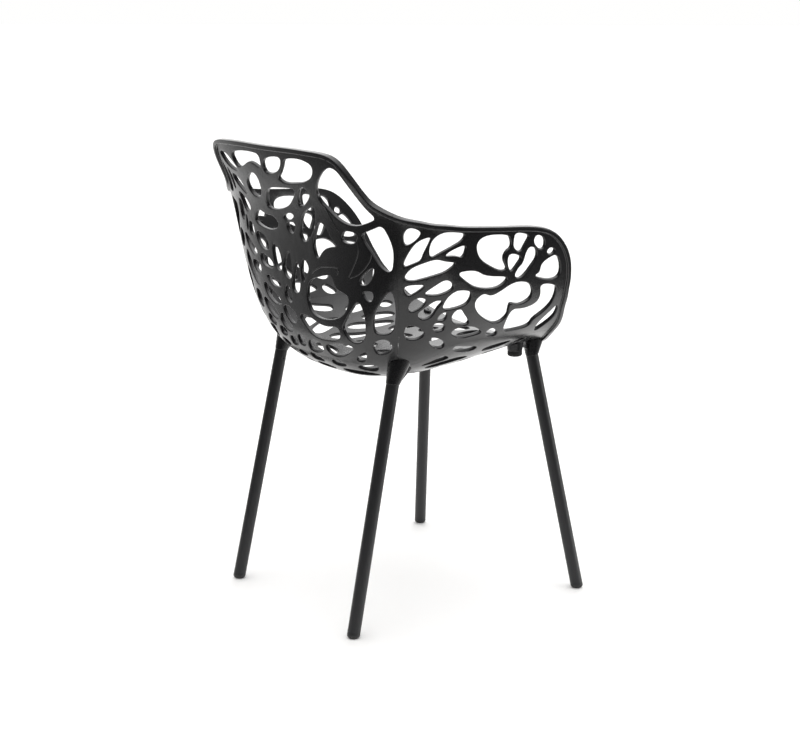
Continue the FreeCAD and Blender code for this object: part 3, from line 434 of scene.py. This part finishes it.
def rounded_copy(node_name, piece_name, material, radius, steps, bend, clear_of=(), reach=0.0):
    """A copy of a node's mesh with its sharp edges rounded, apart from those beside other nodes."""
    others = [node_surface(n) for n in clear_of]
    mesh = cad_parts[node_name].data.copy()
    mesh.name = piece_name
    shape = bmesh.new()
    shape.from_mesh(mesh)
    mark = shape.verts.layers.float.new("rounded_edge")
    bmesh.ops.remove_doubles(shape, verts=shape.verts, dist=SAME_CORNER)
    bmesh.ops.dissolve_degenerate(shape, dist=SHORT_EDGE, edges=shape.edges)
    sharp = []
    for edge in shape.edges:
        if edge.is_manifold and edge.calc_face_angle() > math.radians(bend):
            middle = (edge.verts[0].co + edge.verts[1].co) / 2
            if not any(tree.find_nearest(middle, reach)[0] for tree in others):
                sharp.append(edge)
    lines = points_along(sharp, radius / 2)
    rounded = bmesh.ops.bevel(
        shape, geom=sharp, offset=radius, offset_type="OFFSET", segments=steps, profile=0.5,
        affect="EDGES", clamp_overlap=False, loop_slide=False)
    drawn = draw_in_spikes(rounded["verts"], lines, radius * SPIKE_REACH)
    strips = set(rounded["faces"])
    for corner in shape.verts:
        corner[mark] = 1.0 if all(face in strips for face in corner.link_faces) else 0.0
    cut = [face for face in shape.faces if len(face.verts) > 4 or not drawn.isdisjoint(face.verts)]
    bmesh.ops.triangulate(shape, faces=cut)
    drop_scraps(shape, drawn)
    for face in shape.faces:
        face.smooth = True
    for edge in shape.edges:
        edge.smooth = edge.calc_face_angle(math.pi) < math.radians(bend)
    shape.to_mesh(mesh)
    shape.free()
    if "custom_normal" in mesh.attributes:
        mesh.attributes.remove(mesh.attributes["custom_normal"])
    piece = new_piece(piece_name, mesh, material)
    even = piece.modifiers.new("even_shading", "WEIGHTED_NORMAL")
    even.weight = LARGE_FACE_WEIGHT
    even.keep_sharp = True
    bake_modifiers(piece)
    return piece


def points_along(edges, step):
    """A search tree of points spaced along edges."""
    spots = []
    for edge in edges:
        start, end = edge.verts[0].co, edge.verts[1].co
        parts = max(int((end - start).length / step), 1)
        spots += [start.lerp(end, i / parts) for i in range(parts + 1)]
    tree = KDTree(len(spots))
    for i, spot in enumerate(spots):
        tree.insert(spot, i)
    tree.balance()
    return tree


def draw_in_spikes(corners, lines, reach):
    """Moves the corners that rounding threw out as spikes back between their neighbours, and gives them."""
    stray = {corner for corner in corners if lines.find(corner.co)[2] > reach}
    drawn = set(stray)
    while stray:
        done = {}
        for corner in stray:
            beside = [edge.other_vert(corner) for edge in corner.link_edges]
            steady = [other.co for other in beside if other not in stray]
            if steady:
                done[corner] = sum(steady, Vector()) / len(steady)
        if not done:
            break
        for corner, spot in done.items():
            corner.co = spot
        stray -= set(done)
    return drawn


def drop_scraps(shape, drawn):
    """Removes the flat and folded faces that are left beside corners that were drawn in."""
    near = {corner for start in drawn for edge in start.link_edges for corner in edge.verts}
    beside = [corner for corner in shape.verts if corner in near]
    bmesh.ops.remove_doubles(shape, verts=beside, dist=DRAWN_CORNER)
    near = {corner for corner in near if corner.is_valid}
    short = [edge for edge in shape.edges if not near.isdisjoint(edge.verts)]
    bmesh.ops.dissolve_degenerate(shape, dist=DRAWN_EDGE, edges=short)
    bmesh.ops.remove_doubles(shape, verts=shape.verts, dist=TOUCHING_CORNER)
    flaps = [True]
    while flaps:
        same = {}
        for face in shape.faces:
            same.setdefault(frozenset(face.verts), []).append(face)
        flaps = [face for pair in same.values() if len(pair) > 1 for face in pair]
        for face in set(shape.faces).difference(flaps):
            counts = [len(edge.link_faces) for edge in face.edges]
            if min(counts) == 1 and max(counts) > 2:
                flaps.append(face)
        bmesh.ops.delete(shape, geom=flaps, context="FACES")


def bake_modifiers(piece):
    """Turns what a piece's modifiers make into its plain mesh."""
    bpy.context.view_layer.update()
    made = bpy.data.meshes.new_from_object(piece.evaluated_get(bpy.context.evaluated_depsgraph_get()))
    old = piece.data
    piece.modifiers.clear()
    piece.data = made
    made.name = old.name + "_made"
    bpy.data.meshes.remove(old)


def settle(piece, slot, *nodes):
    """Puts a finished piece on the chair in the place of its nodes."""
    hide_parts(*nodes)
    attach(piece, BODY)


def smooth_line(points, step):
    """Closely spaced points on a smooth line through a few points."""
    count = len(points)
    spots = [Vector(p) for p in points]
    dense = []
    for i in range(count - 1):
        before = spots[max(i - 1, 0)]
        after = spots[min(i + 2, count - 1)]
        start = spots[i]
        end = spots[i + 1]
        parts = max(int((end - start).length / step), 1)
        for k in range(parts):
            t = k / parts
            lead = (end - before) * 0.5
            tail = (after - start) * 0.5
            dense.append(
                start * (2 * t ** 3 - 3 * t ** 2 + 1) + lead * (t ** 3 - 2 * t ** 2 + t)
                + end * (3 * t ** 2 - 2 * t ** 3) + tail * (t ** 3 - t ** 2))
    dense.append(spots[-1])
    return dense


def lathe(rings, sides):
    """A closed turned shape from rings of (radius, height, corners), its top at height 0 or just above."""
    mesh = bpy.data.meshes.new("turned")
    shape = bmesh.new()
    rows = []
    for radius, height, corners in rings:
        row = []
        for i in range(sides):
            turn = 2 * math.pi * i / sides
            reach = radius
            if corners:
                part = math.pi / corners
                reach = radius * math.cos(part) / math.cos((turn % (2 * part)) - part)
            row.append(shape.verts.new((reach * math.cos(turn), reach * math.sin(turn), height)))
        rows.append(row)
    for low, high in zip(rows, rows[1:]):
        for i in range(sides):
            j = (i + 1) % sides
            shape.faces.new((low[i], low[j], high[j], high[i]))
    shape.faces.new(rows[0][::-1])
    shape.faces.new(rows[-1])
    bmesh.ops.recalc_face_normals(shape, faces=shape.faces)
    for face in shape.faces:
        face.smooth = True
    for edge in shape.edges:
        edge.smooth = edge.calc_face_angle(0.0) < math.radians(TURNED_BEND)
    mark = shape.verts.layers.float.new("rounded_edge")
    for corner in shape.verts:
        corner[mark] = 1.0 if corner.co.z > -RUBBED_DEPTH else 0.0
    shape.to_mesh(mesh)
    shape.free()
    return mesh


def node_solids(node_name):
    """The separate solids of a node, each as the points of its surface."""
    shape = bmesh.new()
    shape.from_mesh(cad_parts[node_name].data)
    bmesh.ops.remove_doubles(shape, verts=shape.verts, dist=SAME_CORNER)
    left = set(shape.verts)
    solids = []
    for start in shape.verts:
        if start in left:
            left.remove(start)
            found = [start]
            for corner in found:
                for edge in corner.link_edges:
                    other = edge.other_vert(corner)
                    if other in left:
                        left.remove(other)
                        found.append(other)
            solids.append([corner.co.copy() for corner in found])
    shape.free()
    return solids


def long_axis(points, ahead):
    """A long solid's middle, its axis towards ahead, and its least and greatest reach along that axis."""
    middle = sum(points, Vector()) / len(points)
    spread = Matrix(((0, 0, 0), (0, 0, 0), (0, 0, 0)))
    for p in points:
        d = p - middle
        spread += Matrix([[d[i] * d[j] for j in range(3)] for i in range(3)])
    axis = Vector(ahead)
    for _ in range(AXIS_ROUNDS):
        axis = (spread @ axis).normalized()
    if axis.dot(Vector(ahead)) < 0:
        axis = -axis
    reach = [(p - middle).dot(axis) for p in points]
    return middle, axis, min(reach), max(reach)


# Node trees

class Tree:
    """A geometry tree, with one method that adds any node to it."""

    def __init__(self, name):
        self.group = bpy.data.node_groups.new(name, "GeometryNodeTree")
        self.named = {}
        self.socket("Geometry", "INPUT", "NodeSocketGeometry")
        self.socket("Geometry", "OUTPUT", "NodeSocketGeometry")
        self.start = self.group.nodes.new("NodeGroupInput")
        self.end = self.group.nodes.new("NodeGroupOutput")

    def socket(self, name, way, kind):
        made = self.group.interface.new_socket(name=name, in_out=way, socket_type=kind)
        self.named[name] = made.identifier

    def entry(self, name):
        return next(s for s in self.start.outputs if s.name == name)

    def node(self, kind, inputs=None, **settings):
        made = self.group.nodes.new(kind)
        for key, setting in settings.items():
            setattr(made, key, setting)
        for key, term in (inputs or {}).items():
            if isinstance(term, bpy.types.NodeSocket):
                self.group.links.new(term, made.inputs[key])
            else:
                made.inputs[key].default_value = term
        return made

    def close(self, geometry, material_socket):
        """Ends the tree: instances made real, then the material."""
        real = self.node("GeometryNodeRealizeInstances", {"Geometry": geometry})
        painted = self.node(
            "GeometryNodeSetMaterial", {"Geometry": real.outputs[0], "Material": material_socket})
        self.group.links.new(painted.outputs[0], self.end.inputs[0])

    def apply(self, piece, values):
        """Puts the tree on a piece with its values and makes the result its plain mesh."""
        modifier = piece.modifiers.new(self.group.name, "NODES")
        modifier.node_group = self.group
        for name, value in values.items():
            modifier[self.named[name]] = value
        bake_modifiers(piece)


def raised_line_tree():
    """Round bars swept along curves, thinner towards their ends."""
    tree = Tree("raised_lines")
    tree.socket("Bar radius", "INPUT", "NodeSocketFloat")
    tree.socket("Spacing", "INPUT", "NodeSocketFloat")
    tree.socket("Material", "INPUT", "NodeSocketMaterial")
    curve = tree.node("GeometryNodeMeshToCurve", {"Mesh": tree.entry("Geometry")})
    even = tree.node(
        "GeometryNodeResampleCurve", {"Curve": curve.outputs[0], "Length": tree.entry("Spacing")},
        mode="LENGTH")
    along = tree.node("GeometryNodeSplineParameter")
    swing = tree.node("ShaderNodeMath", {0: along.outputs["Factor"], 1: math.pi}, operation="MULTIPLY")
    wave = tree.node("ShaderNodeMath", {0: swing.outputs[0]}, operation="SINE")
    taper = tree.node("ShaderNodeMath", {0: wave.outputs[0], 1: 0.35}, operation="POWER")
    tapered = tree.node(
        "GeometryNodeSetCurveRadius", {"Curve": even.outputs[0], "Radius": taper.outputs[0]})
    bar = tree.node(
        "GeometryNodeCurvePrimitiveCircle", {"Resolution": 10, "Radius": tree.entry("Bar radius")})
    swept = tree.node(
        "GeometryNodeCurveToMesh",
        {"Curve": tapered.outputs[0], "Profile Curve": bar.outputs[0], "Fill Caps": True})
    smooth = tree.node("GeometryNodeSetShadeSmooth", {0: swept.outputs[0]})
    tree.close(smooth.outputs[0], tree.entry("Material"))
    return tree


def fastener_tree():
    """One fastener at each point, turned to the point's axis."""
    tree = Tree("fasteners")
    tree.socket("Fastener", "INPUT", "NodeSocketObject")
    tree.socket("Material", "INPUT", "NodeSocketMaterial")
    tree.socket("Turn seed", "INPUT", "NodeSocketInt")
    axis = tree.node("GeometryNodeInputNamedAttribute", {"Name": "axis"}, data_type="FLOAT_VECTOR")
    turned = tree.node(
        "FunctionNodeAlignRotationToVector", {"Vector": axis.outputs[0]}, axis="Z")
    spin = tree.node(
        "FunctionNodeRandomValue", {"Seed": tree.entry("Turn seed")}, data_type="FLOAT")
    spin.inputs[2].default_value = 0.0
    spin.inputs[3].default_value = math.pi / 3
    about = tree.node("FunctionNodeAxisAngleToRotation", {"Axis": (0, 0, 1), "Angle": spin.outputs[1]})
    both = tree.node(
        "FunctionNodeRotateRotation", {"Rotation": turned.outputs[0], "Rotate By": about.outputs[0]},
        rotation_space="LOCAL")
    shape = tree.node("GeometryNodeObjectInfo", {"Object": tree.entry("Fastener")})
    spread = tree.node(
        "GeometryNodeInstanceOnPoints",
        {"Points": tree.entry("Geometry"), "Instance": shape.outputs["Geometry"],
         "Rotation": both.outputs[0]})
    tree.close(spread.outputs[0], tree.entry("Material"))
    return tree


def fasteners_at(piece_name, seats, mesh, material, seed):
    """Copies of a fastener at seats, each a point and the direction out of it, as one plain mesh."""
    if not seats:
        raise RuntimeError("no seats were found for " + piece_name)
    points = bpy.data.meshes.new(piece_name)
    points.from_pydata([tuple(spot) for spot, _ in seats], [], [])
    axis = points.attributes.new("axis", "FLOAT_VECTOR", "POINT")
    for i, (_, way) in enumerate(seats):
        axis.data[i].vector = way
    piece = bpy.data.objects.new(piece_name, points)
    pattern = bpy.data.objects.new(piece_name + "_pattern", mesh)
    bpy.context.scene.collection.objects.link(piece)
    bpy.context.scene.collection.objects.link(pattern)
    fastener_tree().apply(piece, {"Fastener": pattern, "Material": material, "Turn seed": seed})
    bpy.data.objects.remove(pattern)
    return piece


# Operators

class ARMCHAIR_OT_castings(bpy.types.Operator):
    """Round the edges of the four castings and paint them"""
    bl_idname = "armchair.castings"
    bl_label = "Castings"

    def execute(self, context):
        settings = context.scene.armchair_castings
        paint = satin_casting_paint(settings)
        for node in CASTINGS:
            others = [n for n in CASTINGS if n != node]
            piece = rounded_copy(
                node, node + "_painted", paint, settings.edge_radius, settings.edge_steps, CASTING_BEND,
                clear_of=others, reach=settings.seam_reach)
            settle(piece, "casting", node)
        return {"FINISHED"}


class ARMCHAIR_OT_petals(bpy.types.Operator):
    """Raise the lines on the petals of the back"""
    bl_idname = "armchair.petals"
    bl_label = "Petal lines"

    def execute(self, context):
        settings = context.scene.armchair_petals
        face = node_surface("back_casting")
        corners = []
        links = []
        for line in PETAL_LINES:
            first = len(corners)
            for spot in smooth_line(line, settings.line_step):
                near, normal, _, _ = face.find_nearest(spot)
                corners.append(near - normal * settings.line_sink)
            links += [(i, i + 1) for i in range(first, len(corners) - 1)]
        mesh = bpy.data.meshes.new("petal_lines")
        mesh.from_pydata([tuple(c) for c in corners], links, [])
        paint = bpy.data.materials["satin_casting_paint"]
        piece = new_piece("petal_lines", mesh, paint)
        raised_line_tree().apply(
            piece, {"Bar radius": settings.line_width, "Spacing": settings.line_step, "Material": paint})
        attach(piece, BODY)
        return {"FINISHED"}


class ARMCHAIR_OT_screws(bpy.types.Operator):
    """Make the button-head screws in the leg heads"""
    bl_idname = "armchair.screws"
    bl_label = "Screws"

    def execute(self, context):
        settings = context.scene.armchair_fasteners
        steel = blackened_steel()
        tall = settings.head_height
        wide = settings.head_diameter / 2
        shank = settings.shank_diameter / 2
        key = settings.key_across / math.sqrt(3)
        seats = []
        length = 0.0
        for points in node_solids("head_screws"):
            middle, axis, low, high = long_axis(points, (0, 0, 1))
            seats.append((middle + axis * (high - tall), axis))
            length = high - low - tall
        # Up the shank and under the head, over its dome, and down into the key socket
        rings = [(shank, -length, ROUND), (shank, -0.0004, ROUND)]
        rings += [(wide * 0.97, 0.0, ROUND), (wide, tall * 0.12, ROUND)]
        for turn in DOME_TURNS:
            across = math.cos(turn) * DOME_WIDTH_SHARE + 1.0 - DOME_WIDTH_SHARE
            up = math.sin(turn) * DOME_HEIGHT_SHARE + 1.0 - DOME_HEIGHT_SHARE
            rings.append((wide * across, tall * up, ROUND))
        rings += [(key * 1.12, tall, ROUND), (key, tall - 0.0002, SIX_SIDED), (key, tall * 0.4, SIX_SIDED)]
        mesh = lathe(rings, SCREW_SIDES)
        piece = fasteners_at("button_head_screws", seats, mesh, steel, SCREW_SEED)
        settle(piece, "screw", "head_screws")
        return {"FINISHED"}


class ARMCHAIR_OT_set_screws(bpy.types.Operator):
    """Make the set screws in the tubes"""
    bl_idname = "armchair.set_screws"
    bl_label = "Set screws"

    def execute(self, context):
        settings = context.scene.armchair_fasteners
        steel = bpy.data.materials["blackened_steel"]
        tubes = [long_axis(node_solids(n)[0], (0, 0, 1)) for n in TUBES]
        seats = []
        length = 0.0
        for points in node_solids("leg_set_screws"):
            middle = sum(points, Vector()) / len(points)
            way = min(tubes, key=lambda tube: (tube[0] - middle).length)[1]
            inward = Vector((-middle.x, 0.0, 0.0))
            axis = (inward - way * inward.dot(way)).normalized()
            reach = [(p - middle).dot(axis) for p in points]
            seats.append((middle + axis * max(reach), axis))
            length = max(reach) - min(reach)
        key = settings.set_key_across / math.sqrt(3)
        radius = settings.set_diameter / 2
        # From the pointed inner end out to the flat outer end, and down into the key socket
        rings = [(radius * 0.7, -length, ROUND), (radius, -length + 0.0008, ROUND)]
        rings += [(radius, -0.0005, ROUND), (radius * 0.86, 0.0, ROUND), (key * 1.1, 0.0, ROUND)]
        rings += [(key, -0.0002, SIX_SIDED), (key, -0.0018, SIX_SIDED)]
        mesh = lathe(rings, SET_SCREW_SIDES)
        piece = fasteners_at("tube_set_screws", seats, mesh, steel, SET_SCREW_SEED)
        settle(piece, "set_screw", "leg_set_screws")
        return {"FINISHED"}


class ARMCHAIR_OT_leg_heads(bpy.types.Operator):
    """Round the edges of the leg heads and paint them"""
    bl_idname = "armchair.leg_heads"
    bl_label = "Leg heads"

    def execute(self, context):
        radius = context.scene.armchair_legs.head_edge
        paint = satin_head_paint(context.scene.armchair_castings)
        for node in HEADS:
            piece = rounded_copy(node, node + "_painted", paint, radius, SMALL_STEPS, SMALL_BEND)
            settle(piece, "leg_head", node)
        return {"FINISHED"}


class ARMCHAIR_OT_legs(bpy.types.Operator):
    """Coat the tubes, and finish the glides and the bumpers"""
    bl_idname = "armchair.legs"
    bl_label = "Legs and feet"

    def execute(self, context):
        settings = context.scene.armchair_legs
        coat = matt_leg_coat(settings)
        for node in TUBES:
            dress(node, coat)
        plastic = glide_plastic()
        rubber = bumper_rubber()
        moulded = [(node, plastic, "glide") for node in GLIDES]
        moulded += [(node, rubber, "bumper") for node in BUMPERS]
        for node, material, slot in moulded:
            piece = rounded_copy(
                node, node + "_moulded", material, settings.moulded_edge, SMALL_STEPS, SMALL_BEND)
            settle(piece, slot, node)
        return {"FINISHED"}


class ARMCHAIR_OT_stage(bpy.types.Operator):
    """Build the floor, the lights and the camera"""
    bl_idname = "armchair.stage"
    bl_label = "Stage"

    def execute(self, context):
        settings = context.scene.armchair_stage
        build_floor(settings)
        build_lights(settings)
        build_camera()
        return {"FINISHED"}


def build_floor(settings):
    """A floor that widens with the camera's view, from in front of the chair away behind it."""
    away = sight_line().to_2d().normalized()
    side = Vector((-away.y, away.x))
    corners = []
    for reach, turns in ((settings.floor_near, (-1, 1)), (-settings.floor_far, (1, -1))):
        half = (VIEW_DISTANCE - reach) * IMAGE_WIDTH / 2 / FOCAL_PIXELS + settings.floor_margin
        corners += [away * reach + side * half * turn for turn in turns]
    mesh = bpy.data.meshes.new("studio_floor")
    mesh.from_pydata([(c.x, c.y, 0.0) for c in corners], [], [(0, 1, 2, 3)])
    new_piece("studio_floor", mesh, pale_floor(settings))


def sight_line():
    """The direction from the target to the camera."""
    turn = math.radians(VIEW_AZIMUTH)
    rise = math.radians(VIEW_ELEVATION)
    return Vector((math.sin(turn) * math.cos(rise), -math.cos(turn) * math.cos(rise), math.sin(rise)))


def build_lights(settings):
    """A room that is bright behind the chair and above and dim behind the camera, and two soft lights."""
    world = bpy.data.worlds.new("studio_room")
    world.use_nodes = True
    tree = world.node_tree
    tree.nodes.clear()
    towards = sight_line()
    place = tree.nodes.new("ShaderNodeTexCoord")
    along = tree.nodes.new("ShaderNodeVectorMath")
    along.operation = "DOT_PRODUCT"
    tree.links.new(place.outputs["Generated"], along.inputs[0])
    along.inputs[1].default_value = (towards.x, towards.y, 0.0)
    side = Value(along.outputs["Value"])
    height = tree.nodes.new("ShaderNodeSeparateXYZ")
    tree.links.new(place.outputs["Generated"], height.inputs[0])
    ceiling = Value(height.outputs[2]).clamp() ** ROOM_FADE * settings.top_light
    share = (side * -0.5 + 0.5).clamp() ** ROOM_FADE
    lit = share * (settings.far_light - settings.near_light) + settings.near_light + ceiling
    seen = Value(tree.nodes.new("ShaderNodeLightPath").outputs["Is Camera Ray"])
    strength = seen + (1.0 - seen) * lit
    back = tree.nodes.new("ShaderNodeBackground")
    back.inputs["Color"].default_value = (1.0, 0.998, 0.994, 1.0)
    feed(back.inputs["Strength"], strength)
    out = tree.nodes.new("ShaderNodeOutputWorld")
    tree.links.new(back.outputs[0], out.inputs["Surface"])
    bpy.context.scene.world = world
    add_light("side_light", SIDE_LIGHT_PLACE, SIDE_LIGHT_WIDTH, settings.side_power)
    add_light("far_light", FAR_LIGHT_PLACE, FAR_LIGHT_WIDTH, settings.far_power)


def add_light(name, spot, size, power):
    """A square soft light that faces the chair."""
    light = bpy.data.lights.new(name, "AREA")
    light.shape = "SQUARE"
    light.size = size
    light.energy = power
    lamp = bpy.data.objects.new(name, light)
    bpy.context.scene.collection.objects.link(lamp)
    lamp.location = spot
    lamp.rotation_euler = (Vector(LIT_POINT) - Vector(spot)).to_track_quat("-Z", "Y").to_euler()


def build_camera():
    """The camera at the photograph's view."""
    away = sight_line()
    right = Vector((0, 0, 1)).cross(away).normalized()
    up = away.cross(right)
    roll = Matrix.Rotation(-math.radians(VIEW_ROLL), 3, away)
    turn = roll @ Matrix((right, up, away)).transposed()
    lens = bpy.data.cameras.new("photo_camera")
    lens.sensor_width = SENSOR_WIDTH
    lens.lens = FOCAL_PIXELS / IMAGE_WIDTH * SENSOR_WIDTH
    lens.clip_end = VIEW_LIMIT
    camera = bpy.data.objects.new("photo_camera", lens)
    bpy.context.scene.collection.objects.link(camera)
    camera.matrix_world = Matrix.Translation(Vector(VIEW_TARGET) + away * VIEW_DISTANCE) @ turn.to_4x4()
    bpy.context.scene.camera = camera


class VIEW3D_PT_armchair(bpy.types.Panel):
    """The armchair's sizes and colours, with a button for each step"""
    bl_label = "Openwork armchair"
    bl_idname = "VIEW3D_PT_armchair"
    bl_space_type = "VIEW_3D"
    bl_region_type = "UI"
    bl_category = "Armchair"

    def draw(self, context):
        for name, operators in STEPS.items():
            box = self.layout.box()
            group = getattr(context.scene, name)
            for key in group.__annotations__:
                box.prop(group, key)
            for operator in operators:
                box.operator(operator.bl_idname)


# The operators that use each group of settings, and the groups' classes
STEPS = {
    "armchair_castings": (ARMCHAIR_OT_castings,),
    "armchair_petals": (ARMCHAIR_OT_petals,),
    "armchair_fasteners": (ARMCHAIR_OT_screws, ARMCHAIR_OT_set_screws),
    "armchair_legs": (ARMCHAIR_OT_leg_heads, ARMCHAIR_OT_legs),
    "armchair_stage": (ARMCHAIR_OT_stage,),
}
GROUPS = {
    "armchair_castings": ArmchairCastings,
    "armchair_petals": ArmchairPetals,
    "armchair_fasteners": ArmchairFasteners,
    "armchair_legs": ArmchairLegs,
    "armchair_stage": ArmchairStage,
}


def register():
    for name, group in GROUPS.items():
        bpy.utils.register_class(group)
        setattr(bpy.types.Scene, name, PointerProperty(type=group))
    for operators in STEPS.values():
        for operator in operators:
            bpy.utils.register_class(operator)
    bpy.utils.register_class(VIEW3D_PT_armchair)


def unregister():
    bpy.utils.unregister_class(VIEW3D_PT_armchair)
    for operators in STEPS.values():
        for operator in operators:
            bpy.utils.unregister_class(operator)
    for name, group in GROUPS.items():
        delattr(bpy.types.Scene, name)
        bpy.utils.unregister_class(group)


def main():
    register()
    bpy.context.scene.view_settings.view_transform = "Standard"
    bpy.ops.armchair.castings()
    bpy.ops.armchair.petals()
    bpy.ops.armchair.screws()
    bpy.ops.armchair.set_screws()
    bpy.ops.armchair.leg_heads()
    bpy.ops.armchair.legs()
    bpy.ops.armchair.stage()


if __name__ == "__main__":
    main()
